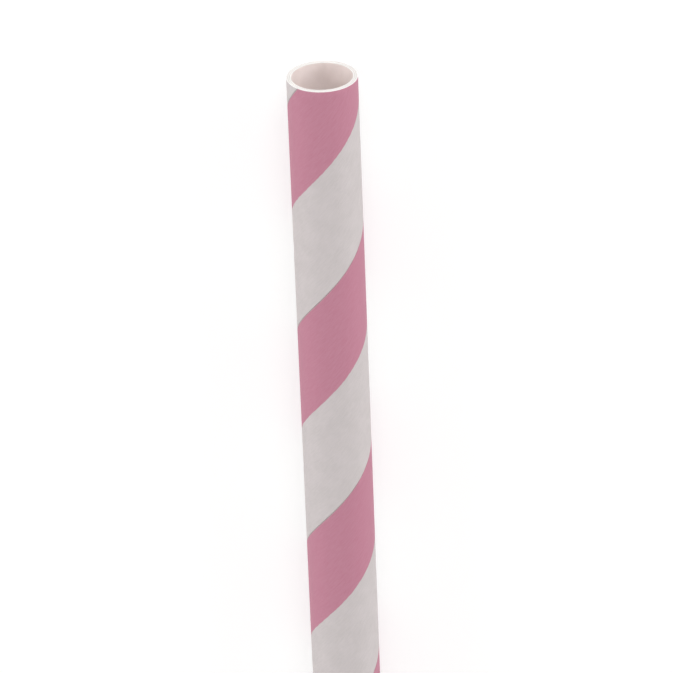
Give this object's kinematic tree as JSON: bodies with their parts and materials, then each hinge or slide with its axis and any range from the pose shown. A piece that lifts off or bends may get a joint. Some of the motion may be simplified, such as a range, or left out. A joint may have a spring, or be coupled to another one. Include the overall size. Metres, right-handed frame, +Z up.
{
  "type": "paper drinking straw",
  "caption": "Straight drinking straw of spirally wound paper: a thin round tube, open at both square-cut ends, printed with a pink and white spiral stripe.",
  "frame": {"origin": "middle of the straw's underside: halfway along it, on the narrow flat that it lies on", "axes": "+X along the straw towards its mouth end, +Z up from the surface that it lies on, +Y across it"},
  "size_m": [0.197, 0.006, 0.006],
  "materials": {
    "printed_paper": "matte"
  },
  "bodies": {
    "root": {"straw_tube": "printed_paper"}
  },
  "joints": []
}
